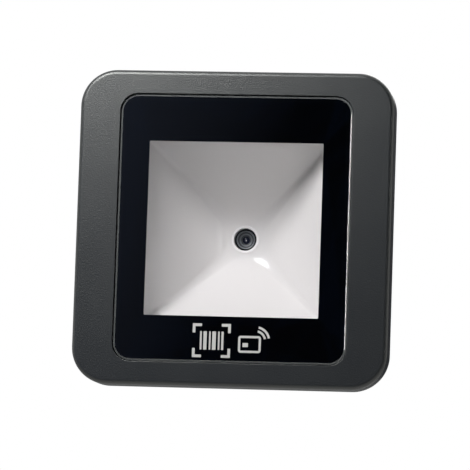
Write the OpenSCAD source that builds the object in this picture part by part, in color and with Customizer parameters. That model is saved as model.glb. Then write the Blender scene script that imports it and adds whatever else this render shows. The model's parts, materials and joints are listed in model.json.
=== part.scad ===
// A fixed code and card reader: its face frame stands on a panel and its housing sits behind it.
// The modules work in the face frame: X to the right, Y up and Z out of the face, with Z = 0 on
// the panel. upright() turns that frame so that the face looks along -Y and +Z is up.

/* [Face frame] */
// Width of the face frame
face_w = 86; // [84:0.5:100]
// Height of the face frame
face_h = 86; // [84:0.5:100]
// Corner radius of the face frame
face_r = 10; // [6:0.5:14]
// Depth of the face frame in front of the panel
bezel_t = 8; // [7.6:0.1:11]
// Radius of the rounded front edge
edge_r = 1.2; // [0.6:0.1:2]
// Thickness of the wall behind the face
face_wall = 2.4; // [1.8:0.1:2.8]
// Thickness of the outer skirt
skirt_wall = 2; // [1.5:0.1:2.6]
// Thickness of the wall around the housing's rim
recess_wall = 1.6; // [1.2:0.1:2]
// Thickness of the ribs in the side pockets
rib_t = 1.4; // [1:0.1:2]
// Width of the shallow slope around the glass
slope_w = 0.6; // [0.4:0.1:1.2]
// Depth of that slope beside the glass
slope_d = 0.15; // [0.1:0.05:0.3]

/* [Glass] */
// Width of the opening that holds the glass
opening_w = 63.9; // [61:0.1:66]
// Height of the opening that holds the glass
opening_h = 73.2; // [71:0.1:75]
// Corner radius of that opening
opening_r = 5; // [3:0.5:7]
// Thickness of the glass
glass_t = 2; // [1.5:0.1:2.3]
// Gap between the glass and the frame
glass_gap = 0.25; // [0.15:0.05:0.4]
// Width of the bevel along the edge of the glass
glass_bevel_w = 0.5; // [0.3:0.05:0.8]
// Depth of that bevel
glass_bevel_d = 0.4; // [0.2:0.05:0.6]
// How far the glass lies below the face
glass_recess = 0.5; // [0.45:0.05:0.8]
// Width of the clear window
window_w = 47.6; // [42:0.2:49]
// Height of the clear window
window_h = 47.6; // [42:0.2:54]
// Thickness of the black mask film
mask_t = 0.15; // [0.1:0.05:0.3]
// Thickness of the adhesive frame
tape_t = 0.25; // [0.15:0.05:0.4]
// Width of the ledge under the glass
ledge_w = 2.5; // [2:0.1:3]
// Thickness of that ledge
ledge_t = 1.5; // [1.3:0.1:2]
// Corner radius of the opening inside the ledge
ledge_r = 10.5; // [8:0.5:12]

/* [Light bowl] */
// Depth of the bowl from its mouth to the lens hole
funnel_depth = 24.5; // [20:0.5:30]
// Wall thickness of the bowl
funnel_wall = 1.5; // [1.2:0.1:2]
// Thickness of the flange round the mouth
flange_t = 1.5; // [1.3:0.1:2]
// How far the mouth reaches past the window on each side
mouth_margin = 2.2; // [1.6:0.1:2.4]
// Corner radius of the bowl at its mouth
mouth_r = 0.8; // [0.6:0.1:2.4]
// How fast the walls steepen towards the mouth
bowl_power = 1.7; // [1.6:0.1:2.4]
// Diameter of the lens hole
aperture_d = 6.3; // [5.6:0.1:7]
// Width of the flat land round the lens hole
land_w = 0.7; // [0.5:0.1:1.2]
// How far that land stands proud of the foot of the bowl
land_rise = 0.15; // [0.05:0.05:0.3]
// Length of the collar behind the lens hole
collar_len = 2.5; // [2:0.1:3]
// Outer diameter of the posts that carry the board
post_d = 5; // [4:0.2:6]
// Distance of the posts from the lens axis, along X
post_x = 16; // [14:0.5:17]
// Distance of the posts from the lens axis, along Y
post_y = 16; // [14:0.5:17]

/* [Camera] */
// Play of the lens barrel in the lens hole
barrel_gap = 0.15; // [0.1:0.05:0.25]
// Length of the lens barrel
barrel_len = 6; // [5:0.2:8]
// How far the barrel lies below the rim of the lens hole
lens_recess = 1.2; // [0.6:0.1:1.6]
// Radius of the front lens element
lens_r = 1.35; // [1.1:0.05:1.5]
// Depth of the stepped hood in front of the lens
hood_depth = 1.1; // [0.8:0.1:1.6]
// Number of steps in the hood
hood_steps = 4; // [2:1:5]
// Distance from the barrel to the image sensor
focus_gap = 0.8; // [0.5:0.1:1.4]
// Width of the image sensor
sensor_w = 6; // [5:0.2:6.4]
// Thickness of the image sensor
sensor_t = 1; // [0.8:0.1:1.4]
// Width of the lens holder's square foot
holder_w = 9.6; // [9:0.2:11]
// Height of the lens holder's square foot
holder_foot = 3.6; // [3:0.1:4]

/* [Circuit board] */
// Thickness of the main board
board_t = 1.6; // [1:0.1:2]
// Gap between the board and the housing
board_gap = 0.5; // [0.3:0.1:1]
// Thickness of the antenna board
antenna_t = 1; // [0.8:0.1:1.2]
// Gap round the antenna board
antenna_gap = 0.3; // [0.2:0.1:0.5]
// Width of the antenna's flat lead
lead_w = 5; // [3:0.5:7]
// Height of a lamp on the board
lamp_h = 1.6; // [1:0.1:2]
// Diameter of the buzzer
buzzer_d = 9.6; // [8:0.2:11]
// Height of the buzzer
buzzer_h = 5; // [4:0.2:7]
// Diameter of a capacitor
capacitor_d = 6.3; // [5:0.1:6.6]
// Height of a capacitor
capacitor_h = 7.7; // [5:0.1:9]

/* [Data socket] */
// Width of the data socket
socket_w = 15.4; // [14.8:0.1:17]
// Height of the data socket
socket_h = 13.2; // [12.8:0.1:14.5]
// Depth of the data socket
socket_len = 12.6; // [11.5:0.1:15]
// Gap between the socket and the housing
socket_gap = 0.3; // [0.2:0.05:0.6]
// How far the socket lies below the housing's back
socket_inset = 0.3; // [0:0.1:1]

/* [Rear housing] */
// Width of the housing
body_w = 68; // [65:0.5:69]
// Height of the housing
body_h = 77; // [75:0.5:78]
// Corner radius of the housing
body_r = 7; // [5:0.5:9]
// Wall thickness of the housing
wall = 2; // [1.6:0.1:2.4]
// Thickness of the housing's back wall
rear_wall = 2; // [1.6:0.1:3]
// How far each side leans in towards the back
body_draft = 0.8; // [0.4:0.1:1]
// Radius of the rounded back edge
rear_r = 2; // [1:0.2:3]
// Play between the housing's rim and the face frame
recess_gap = 0.2; // [0.15:0.05:0.4]
// Thickness of the rubber seal
seal_t = 0.8; // [0.5:0.1:1.2]
// Width of a sound slot
slot_w = 1; // [0.8:0.1:1.2]
// Length of a sound slot
slot_len = 8; // [5:0.5:10]

/* [Fixings] */
// Distance of the housing screws from the housing's sides
screw_inset = 5.5; // [5.2:0.1:6]
// Diameter of a housing screw
screw_d = 2.5; // [2:0.1:3]
// Length of a housing screw under its head
screw_len = 8; // [7:0.5:9]
// Length of the bosses that take the housing screws
boss_len = 7; // [6.4:0.1:9]
// Wall round the wells of the housing screws
well_wall = 1.3; // [1:0.1:1.5]
// Diameter of a board screw
board_screw_d = 1.8; // [1.4:0.1:2.2]
// Length of a board screw under its head
board_screw_len = 6; // [5:0.5:8]
// Offset of the panel inserts from the middle of the side pockets
insert_offset = 0; // [-0.2:0.05:0.2]
// Vertical distance between the panel inserts
panel_dy = 60; // [40:1:62]
// Outer diameter of a panel insert
insert_od = 4; // [3.6:0.1:4.4]
// Bore of a panel insert
insert_bore = 2.5; // [2:0.1:2.6]
// Length of a panel insert
insert_len = 4.5; // [3.5:0.1:5]

/* [Hidden] */
$fn = 64;

// Thin slices that a hull joins
sliver = 0.01;
// How far a cutting shape reaches past the surface it opens
past = 1;

// Heights of the stack, from the face down to the back of the housing
z_glass = bezel_t - glass_recess;
z_glass_back = z_glass - glass_t;
z_mask_back = z_glass_back - mask_t;
z_ledge = z_mask_back - tape_t;
z_flange = z_ledge - ledge_t;
z_flange_back = z_flange - flange_t;
z_rim = z_flange_back - seal_t;
z_aperture = z_flange - funnel_depth;
z_collar = z_aperture - collar_len;
z_barrel = z_aperture - lens_recess;
z_barrel_back = z_barrel - barrel_len;
z_sensor = z_barrel_back - focus_gap;
z_board = z_sensor - sensor_t;
z_board_back = z_board - board_t;
z_socket = z_board_back - socket_len;
z_rear = z_socket - socket_inset;

// Glass and the ledge that it lies on
glass_w = opening_w - 2 * glass_gap;
glass_h = opening_h - 2 * glass_gap;
glass_r = opening_r - glass_gap;
ledge_in_w = opening_w - 2 * ledge_w;
ledge_in_h = opening_h - 2 * ledge_w;
tape_edge = 0.4;

// Bowl
mouth_x = window_w / 2 + mouth_margin;
mouth_y = window_h / 2 + mouth_margin;
foot_r = aperture_d / 2 + land_w;
land_step = 0.1;
bowl_steps = 16;
ring_crowding = 1.5;
corner_steps = 6;
ridge_blend = 6;
collar_wall = 1.2;

// Camera
barrel_d = aperture_d - 2 * barrel_gap;
thread_gap = 0.04;
hood_rim = 0.4;
lens_lip = 0.3;
lens_lip_t = 0.2;
lens_t = 1.2;
lens_dome = 0.35;
z_lens = z_barrel - hood_depth - lens_lip_t;
holder_gap = 0.4;
holder_wall = 1.1;
sensor_gap = 0.4;
sensor_cover = 0.3;
z_holder = z_collar - holder_gap;

// Housing
cavity_w = body_w - 2 * body_draft - 2 * wall;
cavity_h = body_h - 2 * body_draft - 2 * wall;
cavity_r = body_r - body_draft - wall;
recess_w = body_w + 2 * recess_gap;
recess_h = body_h + 2 * recess_gap;
recess_r = body_r + recess_gap;
rim_wall = wall + body_draft;

// Housing screws, their bosses and their wells
screw_x = body_w / 2 - screw_inset;
screw_y = body_h / 2 - screw_inset;
screw_play = 0.1;
screw_head_d = 1.8 * screw_d;
screw_head_h = 0.65 * screw_d;
boss_d = screw_d + 3.4;
boss_gap = 0.3;
boss_end_gap = 0.2;
z_boss_end = z_flange - boss_len;
z_column = z_boss_end - boss_end_gap;
seat_t = 3;
z_seat = z_column - seat_t;
well_d = screw_head_d + 0.6;
column_d = well_d + 2 * well_wall;
pilot_len = screw_len - seat_t - boss_end_gap + 0.8;

// Board screws
board_head_d = 1.9 * board_screw_d;
board_head_h = 0.7 * board_screw_d;
post_pilot = board_screw_len - board_t + 0.6;

// Side pockets of the frame
pocket_in = recess_w / 2 + recess_wall;
pocket_out = face_w / 2 - skirt_wall;
pocket_half = face_h / 2 - face_r;
rib_pitch = panel_dy / 4;

// Panel inserts, in the middle of the side pockets
panel_x = (pocket_in + pocket_out) / 2 + insert_offset;
panel_y = panel_dy / 2;
insert_fit = 0.05;
insert_boss_d = insert_od + 2.4;
insert_hole = insert_len + 0.3;

// Boards
board_w = cavity_w - 2 * board_gap;
board_h = cavity_h - 2 * board_gap;
board_r = 2;
antenna_hole_gap = 0.6;
lead_x = 12;
lead_y = -(mouth_y + (ledge_in_h / 2 - mouth_y) / 2);
lead_t = 0.3;
lead_bow = 1.2;
lead_steps = 16;
lead_slot_gap = 0.6;
plug_h = 3;
plug_w = lead_w + 2;
plug_t = 3.6;

// What stands on the main board, each held off the edges of the board that it keeps to
socket_edge = 14.7;
socket_y = -(board_h / 2 - socket_edge);
buzzer_edge_x = 10.7;
buzzer_edge_y = 11.2;
buzzer_x = -(board_w / 2 - buzzer_edge_x);
buzzer_y = -(board_h / 2 - buzzer_edge_y);
buzzer_hole_d = 2;
slot_pitch = 2.6;
capacitor_edge_x = 5.1;
capacitor_edge_y = 10.2;
capacitor_pitch = capacitor_d + 0.8;
capacitor_x = board_w / 2 - capacitor_edge_x - capacitor_pitch;
capacitor_y = -(board_h / 2 - capacitor_edge_y);
side_chip_edge = 9.7;
side_chip_x = board_w / 2 - side_chip_edge;
side_chip_y = 4;
decoder_w = 11;
decoder_t = 1.3;
decoder_y = 8;
memory_edge = 13.2;
memory_w = 8;
memory_h = 6;
memory_t = 1;
radio_w = 6;
radio_t = 0.9;
crystal_w = 3.2;
crystal_h = 2.5;
crystal_t = 0.8;
crystal_y = 11;
coil_w = 6;
coil_t = 3;
chip_step = 0.3;
lamp_x = 10;
lamp_y = 7;
lamp_w = 3.5;
lamp_len = 2.8;
lamp_d = 2.2;

// Inside of the data socket
bay_w = 11.8;
bay_h = 7.2;
bay_top = socket_h / 2 - 1.6;
bay_len = socket_len - 1.4;
latch_w = 6.4;
latch_neck_w = 3.6;
latch_d = 1.5;
latch_neck_d = 2.8;
contact_n = 8;
contact_pitch = 1.02;
contact_w = 0.46;
contact_t = 0.3;
contact_tip = 2;
contact_drop = 1.7;

// Turns the face frame upright, with the face looking along -Y.
module upright() {
    rotate([90, 0, 0])
        children();
}

// Puts its children at the four corners of a rectangle about the middle of the face.
module at_corners(x, y) {
    for (side = [-1, 1], level = [-1, 1])
        translate([side * x, level * y, 0])
            children();
}

// Flat rectangle with round corners.
module rounded_rect(w, h, r) {
    square([w - 2 * r, h], center = true);
    square([w, h - 2 * r], center = true);
    at_corners(w / 2 - r, h / 2 - r)
        circle(r);
}

// Plate with round corners, standing on its own zero.
module plate(w, h, r, t) {
    linear_extrude(t)
        rounded_rect(w, h, r);
}

// Block whose top edge is rounded by e and whose sides lean in by lean at the top.
module rounded_block(w, h, r, t, e, lean) {
    hull() {
        plate(w, h, r, sliver);
        at_corners(w / 2 - r, h / 2 - r)
            translate([0, 0, t - e])
                rotate_extrude()
                    translate([r - lean - e, 0])
                        circle(e, $fn = 24);
    }
}

// Solid through a row of rings that run anticlockwise and rise along Z.
module loft(rings) {
    n = len(rings[0]);
    last = len(rings) - 1;
    polyhedron(
        points = [for (ring = rings) each ring],
        faces = concat(
            [[for (i = [0 : n - 1]) i]],
            [[for (i = [0 : n - 1]) last * n + n - 1 - i]],
            [for (k = [0 : n : last * n - n], i = [0 : n - 1]) [k + i, k + n + i, k + n + (i + 1) % n]],
            [for (k = [0 : n : last * n - n], i = [0 : n - 1]) [k + i, k + n + (i + 1) % n, k + (i + 1) % n]]
        )
    );
}

// Ring of the bowl: half sizes x and y, corner radius r, height z.
function bowl_ring(x, y, r, z) = [
    for (quarter = [0 : 3], step = [0 : corner_steps])
        let (
            turn = 90 * (quarter + step / corner_steps),
            side = quarter == 0 || quarter == 3 ? 1 : -1,
            level = quarter < 2 ? 1 : -1
        )
        [side * (x - r) + r * cos(turn), level * (y - r) + r * sin(turn), z]
];

// The bowl's inside at u, from 0 at the lens to 1 at the mouth, with its rings closer near the lens.
function bowl_u(i) = pow(i / bowl_steps, ring_crowding);
function bowl_x(u) = foot_r + (mouth_x - foot_r) * u;
function bowl_y(u) = foot_r + (mouth_y - foot_r) * u;
function bowl_z(u) = z_aperture + funnel_depth * pow(u, bowl_power);
function bowl_r(u) = mouth_r + (foot_r - sliver - mouth_r) * pow(1 - u, ridge_blend);

// Everything inside the bowl, up to past the mouth.
module bowl_inside() {
    loft(concat(
        [for (i = [0 : bowl_steps])
            let (u = bowl_u(i))
            bowl_ring(bowl_x(u), bowl_y(u), bowl_r(u), bowl_z(u))],
        [bowl_ring(mouth_x, mouth_y, mouth_r, z_flange + past)]
    ));
}

// The bowl's outer form, up to the middle of the flange.
module bowl_outside() {
    t = funnel_wall;
    loft(concat(
        [for (i = [0 : bowl_steps])
            let (
                u = bowl_u(i),
                z = min(bowl_z(u) - t, z_flange_back - sliver)
            )
            bowl_ring(bowl_x(u) + t, bowl_y(u) + t, bowl_r(u) + t, z)],
        [bowl_ring(mouth_x + t, mouth_y + t, mouth_r + t, z_flange - flange_t / 2)]
    ));
}

// Pan-head screw along +Z, its head below zero, with a cross recess.
module pan_screw(d, len, head_d, head_h) {
    difference() {
        union() {
            cylinder(d = d, h = len);
            translate([0, 0, -head_h])
                cylinder(d = head_d, h = head_h);
        }
        for (turn = [0, 90])
            rotate([0, 0, turn])
                translate([0, 0, -head_h])
                    cube([0.65 * head_d, 0.16 * head_d, head_h], center = true);
    }
}

// Pocket between the skirt and the rim wall on one side, divided by the insert bosses and ribs.
module side_pocket(side) {
    difference() {
        translate([side > 0 ? pocket_in : -pocket_out, -pocket_half, -past])
            cube([pocket_out - pocket_in, 2 * pocket_half, bezel_t - face_wall + past]);
        for (level = [-1, 1])
            translate([side * panel_x, level * panel_y, -2 * past])
                cylinder(d = insert_boss_d, h = bezel_t + 2 * past);
        for (row = [-1 : 1])
            translate([side * (pocket_in + pocket_out) / 2, row * rib_pitch, 0])
                cube([face_w / 2, rib_t, 2 * bezel_t], center = true);
    }
}

// Opening of the frame: the slope, the pocket for the glass, the ledge and the rim recess.
module frame_opening() {
    hull() {
        translate([0, 0, bezel_t - slope_d])
            plate(opening_w, opening_h, opening_r, sliver);
        translate([0, 0, bezel_t])
            plate(opening_w + 2 * slope_w, opening_h + 2 * slope_w, opening_r + slope_w, sliver);
    }
    translate([0, 0, z_ledge])
        plate(opening_w, opening_h, opening_r, bezel_t);
    translate([0, 0, -past])
        plate(ledge_in_w, ledge_in_h, ledge_r, bezel_t);
    translate([0, 0, -past])
        plate(recess_w, recess_h, recess_r, z_flange + past);
}

module front_bezel() {
    color("#333537")
    upright()
    difference() {
        union() {
            difference() {
                rounded_block(face_w, face_h, face_r, bezel_t, edge_r, 0);
                frame_opening();
                side_pocket(-1);
                side_pocket(1);
            }
            at_corners(screw_x, screw_y)
                translate([0, 0, z_boss_end])
                    cylinder(d = boss_d, h = boss_len);
        }
        at_corners(screw_x, screw_y)
            translate([0, 0, z_boss_end - past])
                cylinder(d = screw_d + 2 * screw_play, h = pilot_len + past);
        at_corners(panel_x, panel_y)
            translate([0, 0, -past])
                cylinder(d = insert_od + 2 * insert_fit, h = insert_hole + past);
    }
}

module cover_glass() {
    color("#20262c")
    upright()
    translate([0, 0, z_glass_back])
    hull() {
        plate(glass_w, glass_h, glass_r, glass_t - glass_bevel_d);
        translate([0, 0, glass_t - sliver])
            plate(glass_w - 2 * glass_bevel_w, glass_h - 2 * glass_bevel_w, glass_r - glass_bevel_w, sliver);
    }
}

module window_mask() {
    color("#0c0d10")
    upright()
    translate([0, 0, z_mask_back])
    linear_extrude(mask_t)
    difference() {
        rounded_rect(glass_w, glass_h, glass_r);
        square([window_w, window_h], center = true);
    }
}

module glass_tape() {
    color("#1a1a1c")
    upright()
    translate([0, 0, z_ledge])
    linear_extrude(tape_t)
    difference() {
        rounded_rect(glass_w - 2 * tape_edge, glass_h - 2 * tape_edge, glass_r - tape_edge);
        rounded_rect(ledge_in_w + 2 * tape_edge, ledge_in_h + 2 * tape_edge, ledge_r + tape_edge);
    }
}

module antenna_board() {
    hole_x = 2 * (mouth_x + antenna_hole_gap);
    hole_y = 2 * (mouth_y + antenna_hole_gap);
    color("#1d5a3a")
    upright()
    translate([0, 0, z_flange])
    linear_extrude(antenna_t)
    difference() {
        rounded_rect(ledge_in_w - 2 * antenna_gap, ledge_in_h - 2 * antenna_gap, ledge_r - antenna_gap);
        square([hole_x, hole_y], center = true);
    }
}

// Height of the lead's bow at t, from 0 at the antenna board to 1 at its socket.
function lead_point(t, offset) = [
    lead_y - lead_bow * sin(180 * t) + offset,
    z_flange + (z_board + plug_h - z_flange) * t
];

module antenna_lead() {
    color("#c98a2e")
    upright()
    translate([lead_x - lead_w / 2, 0, 0])
    rotate([90, 0, 90])
    linear_extrude(lead_w)
    polygon(concat(
        [for (i = [0 : lead_steps]) lead_point(i / lead_steps, lead_t / 2)],
        [for (i = [lead_steps : -1 : 0]) lead_point(i / lead_steps, -lead_t / 2)]
    ));
}

module antenna_socket() {
    color("#e6e2d6")
    upright()
    translate([lead_x, lead_y, z_board + plug_h / 2])
    cube([plug_w, plug_t, plug_h], center = true);
}

module light_funnel() {
    color("#eceae6")
    upright()
    difference() {
        union() {
            difference() {
                union() {
                    bowl_outside();
                    translate([0, 0, z_flange_back])
                        plate(body_w, body_h, body_r, flange_t);
                    translate([0, 0, z_collar])
                        cylinder(d = aperture_d + 2 * collar_wall, h = collar_len);
                    at_corners(post_x, post_y)
                        translate([0, 0, z_board])
                            cylinder(d = post_d, h = z_flange_back - z_board);
                }
                bowl_inside();
            }
            translate([0, 0, z_collar + collar_len / 2])
                cylinder(r = foot_r - land_step, h = collar_len / 2 + land_rise);
        }
        translate([0, 0, z_collar - past])
            cylinder(d = aperture_d, h = collar_len + 2 * past);
        at_corners(screw_x, screw_y)
            translate([0, 0, z_flange_back - past])
                cylinder(d = boss_d + 2 * boss_gap, h = flange_t + 2 * past);
        at_corners(post_x, post_y)
            translate([0, 0, z_board - past])
                cylinder(d = board_screw_d + 2 * screw_play, h = post_pilot + past);
        translate([lead_x, lead_y, z_flange_back])
            cube([lead_w + 2 * lead_slot_gap, lead_t + 2 * lead_slot_gap, 4 * flange_t], center = true);
    }
}

// Barrel with a stepped hood in front of the lens and an open back.
module lens_barrel() {
    r = barrel_d / 2;
    bore = lens_r - lens_lip;
    step_r = (r - hood_rim - bore) / (hood_steps - 1);
    step_z = hood_depth / hood_steps;
    color("#17181a")
    upright()
    translate([0, 0, z_barrel])
    rotate_extrude()
    polygon(concat(
        [[r, 0]],
        [for (i = [0 : hood_steps - 1], end = [0, 1])
            [r - hood_rim - i * step_r, -(i + end) * step_z]],
        [
            [bore, z_lens - z_barrel],
            [lens_r + thread_gap, z_lens - z_barrel],
            [lens_r + thread_gap, -barrel_len],
            [r, -barrel_len]
        ]
    ));
}

// Plano-convex front element behind the shoulder of the barrel.
module front_lens() {
    ball = (lens_r * lens_r + lens_dome * lens_dome) / (2 * lens_dome);
    color("#2b3550")
    upright()
    translate([0, 0, z_lens])
    intersection() {
        translate([0, 0, -lens_t])
            cylinder(r = lens_r, h = lens_t);
        translate([0, 0, -ball])
            sphere(ball);
    }
}

module lens_holder() {
    bore = barrel_d + 2 * thread_gap;
    well = sensor_w + 2 * sensor_gap;
    color("#1c1d20")
    upright()
    difference() {
        union() {
            translate([0, 0, z_board + holder_foot / 2])
                cube([holder_w, holder_w, holder_foot], center = true);
            translate([0, 0, z_board])
                cylinder(d = bore + 2 * holder_wall, h = z_holder - z_board);
        }
        translate([0, 0, z_board])
            cylinder(d = bore, h = z_holder - z_board + past);
        translate([0, 0, z_board])
            cube([well, well, 2 * (sensor_t + sensor_cover)], center = true);
    }
}

module image_sensor() {
    color("#3a3f4a")
    upright()
    translate([0, 0, z_board + sensor_t / 2])
    cube([sensor_w, sensor_w, sensor_t], center = true);
}

module lamp_leds() {
    color("#f2efe2")
    upright()
    at_corners(lamp_x, lamp_y)
        translate([0, 0, z_board]) {
            translate([0, 0, lamp_h / 4])
                cube([lamp_w, lamp_len, lamp_h / 2], center = true);
            cylinder(d = lamp_d, h = lamp_h);
        }
}

module main_board() {
    color("#1b5238")
    upright()
    translate([0, 0, z_board_back])
    linear_extrude(board_t)
    difference() {
        rounded_rect(board_w, board_h, board_r);
        at_corners(screw_x, screw_y)
            circle(d = column_d + 2 * board_gap);
        at_corners(post_x, post_y)
            circle(d = board_screw_d + 2 * screw_play);
    }
}

// Flat chip on the back of the main board, with a slightly smaller top.
module chip(x, y, w, h, t) {
    upright()
    translate([x, y, z_board_back]) {
        translate([0, 0, -t / 4])
            cube([w, h, t / 2], center = true);
        translate([0, 0, -t / 2])
            cube([w - 2 * chip_step, h - 2 * chip_step, t], center = true);
    }
}

module decoder_chip() {
    color("#202124")
    chip(0, decoder_y, decoder_w, decoder_w, decoder_t);
}

module memory_chip() {
    color("#242528")
    chip(0, board_h / 2 - memory_edge, memory_w, memory_h, memory_t);
}

module radio_chip() {
    color("#222326")
    chip(-side_chip_x, side_chip_y, radio_w, radio_w, radio_t);
}

module crystal() {
    color("#b9bcc0")
    chip(-side_chip_x, crystal_y, crystal_w, crystal_h, crystal_t);
}

module power_coil() {
    color("#4a4b4e")
    chip(side_chip_x, side_chip_y, coil_w, coil_w, coil_t);
}

module capacitors() {
    color("#9da3ab")
    upright()
    for (i = [0, 1])
        translate([capacitor_x + i * capacitor_pitch, capacitor_y, z_board_back - capacitor_h]) {
            cylinder(d = capacitor_d, h = capacitor_h - 1);
            cylinder(d = capacitor_d - 0.5, h = capacitor_h);
        }
}

module buzzer() {
    color("#18191b")
    upright()
    translate([buzzer_x, buzzer_y, z_board_back - buzzer_h])
    difference() {
        cylinder(d = buzzer_d, h = buzzer_h);
        translate([0, 0, -past])
            cylinder(d = buzzer_hole_d, h = past + buzzer_h / 4);
    }
}

// Socket body, open at the back, with a stepped slot for the plug's latch.
module data_socket() {
    color("#1f2022")
    upright()
    translate([0, socket_y, z_socket])
    difference() {
        translate([-socket_w / 2, -socket_h / 2, 0])
            cube([socket_w, socket_h, socket_len]);
        translate([-bay_w / 2, bay_top - bay_h, -past])
            cube([bay_w, bay_h, bay_len + past]);
        translate([-latch_w / 2, bay_top - bay_h - latch_d, -past])
            cube([latch_w, latch_d + past, bay_len + past]);
        translate([-latch_neck_w / 2, bay_top - bay_h - latch_neck_d, -past])
            cube([latch_neck_w, latch_neck_d, bay_len + past]);
    }
}

// Spring contacts that run along the roof of the socket and fold back into it.
module socket_contacts() {
    tip = contact_tip;
    drop = contact_drop;
    color("#d9b04a")
    upright()
    for (i = [0 : contact_n - 1])
        translate([(i - (contact_n - 1) / 2) * contact_pitch - contact_w / 2, socket_y + bay_top, z_socket])
            rotate([90, 0, 90])
                linear_extrude(contact_w)
                    polygon([
                        [0, bay_len], [0, tip], [-contact_t, tip], [-drop, 0.6 * bay_len],
                        [-drop + contact_t, 0.6 * bay_len + contact_t], [-contact_t, tip + 2 * contact_t],
                        [-contact_t, bay_len]
                    ]);
}

module board_screws() {
    color("#b4b8bc")
    upright()
    at_corners(post_x, post_y)
        translate([0, 0, z_board_back])
            pan_screw(board_screw_d, board_screw_len, board_head_d, board_head_h);
}

module housing_seal() {
    color("#161616")
    upright()
    translate([0, 0, z_rim])
    linear_extrude(seal_t)
    difference() {
        rounded_rect(body_w, body_h, body_r);
        rounded_rect(body_w - 2 * rim_wall, body_h - 2 * rim_wall, cavity_r);
        at_corners(screw_x, screw_y)
            circle(d = boss_d + 2 * boss_gap);
    }
}

// Sound slots in the back wall behind the buzzer.
module sound_slots() {
    for (i = [-1 : 1])
        translate([buzzer_x + slot_pitch * i, buzzer_y, z_rear])
            cube([slot_w, slot_len, 4 * rear_wall], center = true);
}

module rear_housing() {
    color("#28292c")
    upright()
    difference() {
        union() {
            difference() {
                translate([0, 0, z_rim])
                    mirror([0, 0, 1])
                        rounded_block(body_w, body_h, body_r, z_rim - z_rear, rear_r, body_draft);
                translate([0, 0, z_rear + rear_wall])
                    plate(cavity_w, cavity_h, cavity_r, z_rim - z_rear);
            }
            at_corners(screw_x, screw_y)
                translate([0, 0, z_rear + rear_wall / 2])
                    cylinder(d = column_d, h = z_column - z_rear - rear_wall / 2);
        }
        at_corners(screw_x, screw_y)
            translate([0, 0, z_rear - past])
                cylinder(d = well_d, h = z_seat - z_rear + past);
        at_corners(screw_x, screw_y)
            translate([0, 0, z_seat - past])
                cylinder(d = screw_d + 2 * screw_play, h = seat_t + 2 * past);
        at_corners(screw_x, screw_y)
            translate([0, 0, z_column])
                cylinder(d = boss_d + 2 * boss_gap, h = z_rim - z_column + past);
        translate([0, socket_y, z_rear])
            cube([socket_w + 2 * socket_gap, socket_h + 2 * socket_gap, 4 * rear_wall], center = true);
        sound_slots();
    }
}

module housing_screws() {
    color("#aab0b6")
    upright()
    at_corners(screw_x, screw_y)
        translate([0, 0, z_seat])
            pan_screw(screw_d, screw_len, screw_head_d, screw_head_h);
}

// Brass inserts with a groove round their middle, flush with the panel.
module panel_inserts() {
    color("#c8a045")
    upright()
    at_corners(panel_x, panel_y)
        difference() {
            cylinder(d = insert_od, h = insert_len);
            translate([0, 0, -past])
                cylinder(d = insert_bore, h = insert_len + 2 * past);
            translate([0, 0, 0.4 * insert_len])
                difference() {
                    cylinder(d = insert_od + past, h = 0.2 * insert_len);
                    translate([0, 0, -past])
                        cylinder(d = insert_od - 0.5, h = insert_len + 2 * past);
                }
        }
}

front_bezel();
cover_glass();
window_mask();
glass_tape();
antenna_board();
antenna_lead();
antenna_socket();
light_funnel();
lens_barrel();
front_lens();
lens_holder();
image_sensor();
lamp_leds();
main_board();
decoder_chip();
memory_chip();
radio_chip();
crystal();
power_coil();
capacitors();
buzzer();
data_socket();
socket_contacts();
board_screws();
housing_seal();
rear_housing();
housing_screws();
panel_inserts();
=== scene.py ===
"""Looks of a fixed code and card reader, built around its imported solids.

The reader stands upright: X runs to the right of its face, Y from the face into the panel and Z up.
The panel's front lies at Y = 0. Sizes in this file are millimetres until a mesh or a node needs metres.
"""

from __future__ import annotations

import json
import logging
import math
from collections.abc import Iterable, Mapping, Sequence
from dataclasses import dataclass
from enum import Enum

import bmesh
import bpy
from mathutils import Matrix, Vector

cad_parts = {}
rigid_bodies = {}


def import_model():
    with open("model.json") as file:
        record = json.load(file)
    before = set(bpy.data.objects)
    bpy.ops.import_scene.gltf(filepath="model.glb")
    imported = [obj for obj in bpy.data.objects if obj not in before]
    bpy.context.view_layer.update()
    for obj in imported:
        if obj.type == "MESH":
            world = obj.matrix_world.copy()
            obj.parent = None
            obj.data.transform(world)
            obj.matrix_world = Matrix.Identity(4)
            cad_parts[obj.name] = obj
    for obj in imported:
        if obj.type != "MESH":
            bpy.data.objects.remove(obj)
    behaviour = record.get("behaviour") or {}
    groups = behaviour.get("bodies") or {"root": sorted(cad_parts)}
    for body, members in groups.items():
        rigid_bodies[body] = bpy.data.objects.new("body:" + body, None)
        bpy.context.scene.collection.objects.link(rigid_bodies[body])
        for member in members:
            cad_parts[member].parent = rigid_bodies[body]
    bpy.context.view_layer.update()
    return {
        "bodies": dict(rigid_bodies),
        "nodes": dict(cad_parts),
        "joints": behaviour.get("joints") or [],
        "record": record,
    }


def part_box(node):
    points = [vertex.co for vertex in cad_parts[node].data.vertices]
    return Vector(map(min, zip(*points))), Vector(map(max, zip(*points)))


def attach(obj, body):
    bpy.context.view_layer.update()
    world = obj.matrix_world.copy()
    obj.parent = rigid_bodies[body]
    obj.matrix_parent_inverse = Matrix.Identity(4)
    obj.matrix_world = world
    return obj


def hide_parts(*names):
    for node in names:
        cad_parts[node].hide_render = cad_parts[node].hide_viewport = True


LOG = logging.getLogger("reader")
MM = 0.001
BODY = "root"
# Edges that turn more than this stay sharp, in degrees.
CREASE_DEG = 32.0
# Points closer than this are one point.
WELD = 1e-4
# Smallest corner radius of a ring.
LEAST_CORNER = 0.05
# How far a cutting form runs past what it cuts.
PAST = 1.0
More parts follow.
